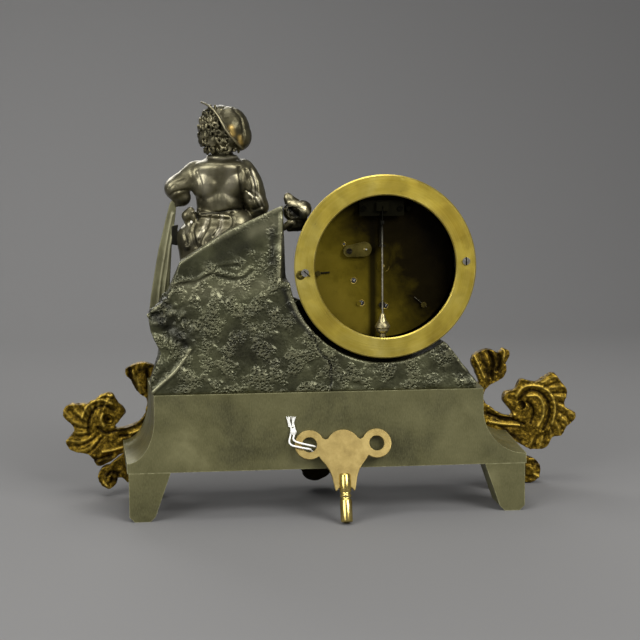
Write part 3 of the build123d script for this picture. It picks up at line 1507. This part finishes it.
def make_figure_head():
    # A round head with curls of hair low round its back and sides.
    head = head_block()
    chin_drop = head_radius * chin_drop_share
    head += Pos(head_x, figure_y - chin_drop, head_z - chin_drop) * Rot(0, 35, 0) * Sphere(
        head_radius * chin_share)
    for i in range(hair_curl_count):
        angle = math.radians(hair_start_angle + hair_span_angle * i / (hair_curl_count - 1))
        level = head_z - head_radius * hair_level_shares[i % 2]
        radius = head_radius * hair_seat_share
        curl = Rot(10 * i, 25, 0) * Sphere(hair_curl_radius)
        head += Pos(head_x + radius * math.cos(angle), figure_y + radius * math.sin(angle), level) * curl
    return head


def make_figure_hat(head):
    # A soft cap with a turned-up brim, tilted to one side.
    brim = Cylinder(hat_brim_radius, hat_brim_thickness)
    dome = capsule((0, 0, 0), (0, 0, hat_rise), hat_radius, hat_radius * dome_share)
    dome -= Pos(0, 0, -2 * hat_radius) * Box(4 * hat_radius, 4 * hat_radius, 4 * hat_radius)
    hat = Pos(head_x, figure_y, head_z) * Rot(0, hat_tilt, 0) * (brim + dome)
    return one_solid(hat - head)


def arm_paths():
    # Shoulder, elbow and wrist of each arm: the left hand holds the oar's top, the right arm bends forward.
    left = [limb_point(shares) for shares in left_arm_shares]
    top = oar_top()
    left.append((top[0] - hand_radius, top[1] - arm_radius / 2, top[2] + hand_radius / 4))
    right = [limb_point(shares) for shares in right_arm_shares]
    return left, right


def make_arm(path, body):
    shoulder, elbow, wrist = path
    elbow_radius = arm_radius * elbow_share
    arm = capsule(shoulder, elbow, arm_radius, elbow_radius)
    arm += capsule(elbow, wrist, elbow_radius, wrist_radius)
    arm += Pos(*wrist) * Sphere(hand_radius)
    return one_solid(arm - body)


def make_leg(side, body, rock):
    hip_x = figure_x + side * hip_half_width * hip_joint_share
    knee_x = figure_x + side * hip_half_width * knee_share
    hip = (hip_x, figure_y - thigh_radius, seat_z + thigh_radius)
    knee = (knee_x, plinth_front_y + knee_radius, seat_z + knee_radius / 2)
    ankle = (hip_x, plinth_front_y + knee_radius, (seat_z + plinth_top_z) / 2 + ankle_radius)
    toe = (hip_x + side * ankle_radius, plinth_front_y - shoe_length / 3, ankle[2] - 2 * ankle_radius)
    leg = capsule(hip, knee, thigh_radius, knee_radius)
    leg += capsule(knee, ankle, knee_radius, ankle_radius)
    leg += capsule(ankle, toe, ankle_radius * heel_share, ankle_radius)
    return one_solid(leg - body - rock)


def oar_top():
    return figure_x + hip_half_width + oar_shaft_width / 2, figure_y, shoulder_z - oar_drop


def oar_foot():
    return rock_half_width - oar_blade_width / 2, figure_y, plinth_top_z + rock_height * oar_foot_share


def make_oar(rock):
    # A flat board that widens to its blade, with a ridge down its back.
    top = Vector(*oar_top())
    foot = Vector(*oar_foot())
    length = (foot - top).length
    lean = math.degrees(math.atan2(foot.X - top.X, top.Z - foot.Z))
    neck_z = -length * oar_neck_share
    shoulder = -length * oar_shoulder_share
    shaft = oar_shaft_width / 2
    blade = oar_blade_width / 2
    outline = xz_polygon([(-shaft, 0), (shaft, 0), (shaft, neck_z), (blade, shoulder), (blade, -length),
                          (-blade, -length), (-blade, shoulder), (-shaft, neck_z)])
    board = along_y(outline, -oar_thickness / 2, oar_thickness / 2)
    ridge = box_between((-shaft / 2, -oar_thickness, -length), (shaft / 2, oar_thickness, 0))
    oar = Pos(top.X, top.Y, top.Z) * Rot(0, -lean, 0) * (board + ridge)
    return one_solid(oar - rock)


# The gourd's balls from its middle, leftward, backward and up, and each one's radius, as shares of its radius.
gourd_belly_shares = ((0.30, 0.00, 0.12, 0.98), (-0.25, 0.00, -0.12, 1.00))
gourd_neck_shares = ((0.50, -0.10, 0.55, 0.50), (0.82, -0.15, 1.35, 0.375))
gourd_spout_shares = ((-0.05, 0.10, -0.65, 0.50), (-0.30, 0.15, -1.15, 0.42))
gourd_root_shares = ((0.30, 0.20, -0.65, 0.40), (1.35, 0.25, -1.45, 0.28))
gourd_mouth_shares = ((0.42, 0.55, 0.02, 0.50), (0.50, 1.50, 0.06, 0.62))


def gourd_lobe(place, shares):
    ends = []
    for share in shares:
        ends.append(tuple(middle + gourd_radius * part for middle, part in zip(place, share)))
    return capsule(ends[0], ends[1], gourd_radius * shares[0][3], gourd_radius * shares[1][3])


def make_gourd(rock):
    # A gourd lying against the rock's crest, open behind, on a root that reaches the rock's flank.
    crest_x = rock_half_width * rock_crest_shares[8][0]
    depth = rock_depth_shares[1] * (rock_front_y - rock_back_y)
    place = (crest_x - gourd_reach, rock_back_y + depth, rock_top_z - gourd_drop)
    gourd = gourd_lobe(place, gourd_belly_shares) + gourd_lobe(place, gourd_neck_shares)
    gourd += gourd_lobe(place, gourd_spout_shares) + gourd_lobe(place, gourd_root_shares)
    gourd -= gourd_lobe(place, gourd_mouth_shares)
    drum = drum_rod((0, 0), rock_front_y, drum_back_y + overrun, drum_radius + rim_radius + face_gap)
    return one_solid(gourd - rock - drum)


# Winding key


def key_frame():
    # The key leans on the plinth's back: its own Z runs up the key, its X is the clock's X.
    return Pos(key_x, key_foot_y, 0) * Rot(key_tilt, 0, 0)


def make_key():
    half = key_plate_thickness / 2
    rise = key_barrel_radius * math.tan(math.radians(key_tilt))
    ring_low = key_ring_height - key_ring_radius
    plate = rod_y(0, key_lobe_height, -half, half, key_lobe_radius)
    for side in (-1, 1):
        plate += rod_y(side * key_ring_spacing, key_ring_height, -half, half, key_ring_radius)
    web = xz_polygon([(-key_ring_spacing, key_ring_height + key_ring_radius / 2),
                      (key_ring_spacing, key_ring_height + key_ring_radius / 2),
                      (key_ring_spacing, key_ring_height - key_ring_radius / 2),
                      (key_lobe_radius, ring_low), (key_neck_width / 2, key_neck_height),
                      (-key_neck_width / 2, key_neck_height), (-key_lobe_radius, ring_low),
                      (-key_ring_spacing, key_ring_height - key_ring_radius / 2)])
    plate += along_y(web, -half, half)
    for side in (-1, 1):
        plate -= rod_y(side * key_ring_spacing, key_ring_height, -2 * half, 2 * half, key_ring_hole_radius)
    barrel = Pos(0, 0, rise + key_barrel_height / 2) * Cylinder(key_barrel_radius, key_barrel_height)
    for height in (key_groove_height, key_groove_height + key_groove_pitch):
        ring = Cylinder(key_barrel_radius + overrun, key_groove_width)
        ring -= Cylinder(key_barrel_radius - key_groove_depth, 2 * key_groove_width)
        barrel -= Pos(0, 0, height) * ring
    bore = winding_square + 2 * slip_gap
    barrel -= Pos(0, 0, rise + key_bore_depth / 2) * Box(bore, bore, key_bore_depth)
    return one_solid(key_frame() * (plate + barrel))


def make_key_string():
    line = FilletPolyline(*string_points, radius=[string_bend] * (len(string_points) - 2))
    section = Plane(origin=line @ 0, z_dir=line % 0) * Circle(string_radius)
    x, y, z = string_knot_place
    knot = capsule((x - string_radius, y, z - string_radius), (x + string_radius, y, z + string_radius),
                   string_knot_radius, string_knot_radius)
    return one_solid(sweep(section, path=line) + knot)


def build_parts():
    parts = {}
    parts["plinth"] = make_plinth()
    parts["rear_foot_left"] = make_rear_foot(1)
    parts["rear_foot_right"] = make_rear_foot(-1)
    parts["front_foot_left"] = make_front_foot(1)
    parts["front_foot_right"] = make_front_foot(-1)
    parts["foot_screws"] = make_foot_screws()
    parts["side_scroll_left"] = make_side_scroll(1)
    parts["side_scroll_right"] = make_side_scroll(-1)
    parts["front_apron"] = make_front_apron()
    rock = make_rock()
    block = rock_block()
    parts["rock"] = rock
    parts["case_bolts"] = make_case_bolts()
    parts["case_nuts"] = make_case_nuts()
    oar = make_oar(block)
    body = make_figure_body(block, oar)
    head = make_figure_head()
    parts["figure_body"] = body
    parts["figure_head"] = one_solid(head - body)
    parts["figure_hat"] = make_figure_hat(head)
    left_arm, right_arm = arm_paths()
    parts["figure_arm_left"] = make_arm(left_arm, body + oar)
    parts["figure_arm_right"] = make_arm(right_arm, body)
    parts["figure_leg_left"] = make_leg(1, body, block)
    parts["figure_leg_right"] = make_leg(-1, body, block)
    parts["oar"] = oar
    parts["gourd"] = make_gourd(block)
    parts["drum_shell"] = make_drum_shell()
    parts["rear_ring"] = make_rear_ring()
    parts["ring_screws"] = make_ring_screws()
    left_screw, right_screw = ring_screw_places()
    parts["straps"] = Compound([make_strap(left_screw), make_strap(right_screw)])
    parts["bezel_base"] = make_bezel_base()
    parts["bezel_door"] = make_bezel_door()
    parts["bezel_glass"] = make_bezel_glass()
    parts["hinge_pin"] = make_hinge_pin()
    parts["dial"] = make_dial()
    parts["hour_hand"] = make_hour_hand()
    parts["minute_hand"] = make_minute_hand()
    parts["hand_collet"] = make_hand_collet()
    parts["cannon_pinion"] = make_cannon_pinion()
    parts["minute_wheel"] = make_minute_wheel()
    parts["hour_wheel"] = make_hour_wheel()
    parts["front_plate"] = make_front_plate()
    parts["back_plate"] = make_back_plate()
    parts["pillars"] = make_pillars()
    parts["taper_pins"] = make_taper_pins()
    parts["barrel"] = make_barrel()
    parts["barrel_cap"] = make_barrel_cap()
    parts["mainspring"] = make_mainspring()
    parts["barrel_arbor"] = make_barrel_arbor()
    parts["ratchet_wheel"] = make_ratchet_wheel()
    parts["click"] = make_click()
    parts["click_spring"] = make_click_spring()
    parts["centre_wheel"] = make_centre_arbor()
    parts["third_wheel"] = make_third_wheel()
    parts["escape_wheel"] = make_escape_wheel()
    parts["escape_cock"] = make_escape_cock()
    parts["movement_screws"] = Compound(make_cock_screws() + [make_click_screw()])
    parts["potence"] = make_potence()
    parts["back_cock"] = make_back_cock()
    parts["pallets"] = make_pallets()
    parts["pendulum_rod"] = make_pendulum_rod()
    parts["pendulum_bob"] = make_bob()
    parts["rating_nut"] = make_rating_nut()
    parts["winding_key"] = make_key()
    parts["key_string"] = make_key_string()
    return parts


def origin_shift(parts):
    # The origin is under the middle of everything, on the plane the feet stand on.
    boxes = [part.bounding_box() for part in parts.values()]
    low_x = min(box.min.X for box in boxes)
    high_x = max(box.max.X for box in boxes)
    low_y = min(box.min.Y for box in boxes)
    high_y = max(box.max.Y for box in boxes)
    low_z = min(box.min.Z for box in boxes)
    return -(low_x + high_x) / 2, -(low_y + high_y) / 2, -low_z


def main():
    os.makedirs("parts", exist_ok=True)
    parts = build_parts()
    shift = origin_shift(parts)
    print("origin shift", [round(value, 4) for value in shift])
    for name, part in parts.items():
        export_step(Pos(*shift) * part, "parts/" + name + ".step")


if __name__ == "__main__":
    main()
